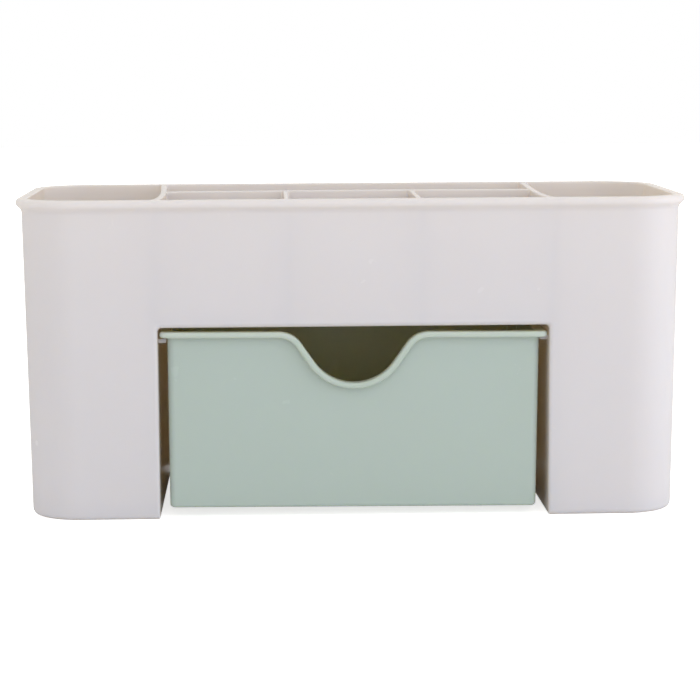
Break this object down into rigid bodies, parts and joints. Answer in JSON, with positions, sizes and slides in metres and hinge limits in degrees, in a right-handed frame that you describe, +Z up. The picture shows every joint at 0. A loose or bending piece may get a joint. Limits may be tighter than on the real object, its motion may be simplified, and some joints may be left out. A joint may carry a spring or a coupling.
{
  "type": "desk organizer with drawer",
  "caption": "Moulded desktop organizer on two hollow legs, with wells, open trays and a drawer that slides out below.",
  "frame": {"origin": "centre of the footprint, on the surface that the legs stand on", "axes": "+X to the right along the length, +Y from the drawer's front to the back, +Z up"},
  "size_m": [0.22, 0.096, 0.1045],
  "materials": {
    "housing_plastic": "glossy off-white injection moulding",
    "drawer_plastic": "soft-gloss pale green injection moulding"
  },
  "bodies": {
    "housing": {"left_leg": "housing_plastic", "right_leg": "housing_plastic", "front_wall": "housing_plastic", "back_wall": "housing_plastic", "tray_deck": "housing_plastic", "long_divider": "housing_plastic", "cross_divider_1": "housing_plastic", "cross_divider_2": "housing_plastic", "left_runner": "housing_plastic", "right_runner": "housing_plastic"},
    "drawer": {"drawer": "drawer_plastic"}
  },
  "joints": [
    {"name": "drawer_slide", "type": "slide", "parent": "housing", "child": "drawer", "axis": [0, -1, 0], "range_m": [0, 0.073]}
  ]
}
